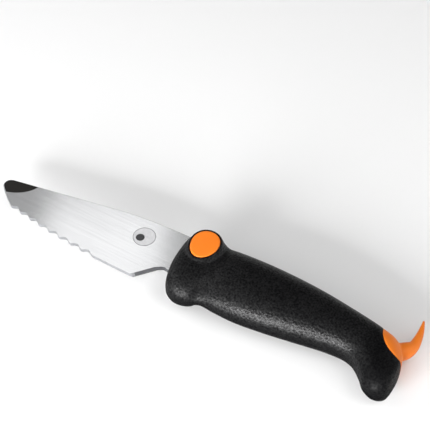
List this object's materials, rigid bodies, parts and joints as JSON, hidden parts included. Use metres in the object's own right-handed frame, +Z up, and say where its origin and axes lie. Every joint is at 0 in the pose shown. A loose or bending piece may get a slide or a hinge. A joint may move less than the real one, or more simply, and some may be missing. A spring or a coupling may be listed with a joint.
{
  "type": "children's kitchen knife",
  "caption": "Child's kitchen knife with a serrated, round-tipped steel blade and a soft dog-shaped handle with disc ears and a curved tail.",
  "frame": {"origin": "centre of the bounding box in X and Y, at the height of the surface that the knife lies on", "axes": "the knife lies on its side: -X towards the blade's tip, +X towards the tail, +Y from the cutting edge towards the spine, +Z up through the thickness, the blade's flat face up"},
  "size_m": [0.2154, 0.048, 0.022],
  "materials": {
    "steel": "fine lengthwise brushing, satin",
    "core_plastic": "as moulded, hidden",
    "soft_black": "finely grained soft moulding",
    "orange_plastic": "satin moulding"
  },
  "bodies": {
    "root": {"blade": "steel", "handle_core": "core_plastic", "grip": "soft_black", "ear_left": "orange_plastic", "ear_right": "orange_plastic", "tail_cap": "orange_plastic"}
  },
  "joints": []
}
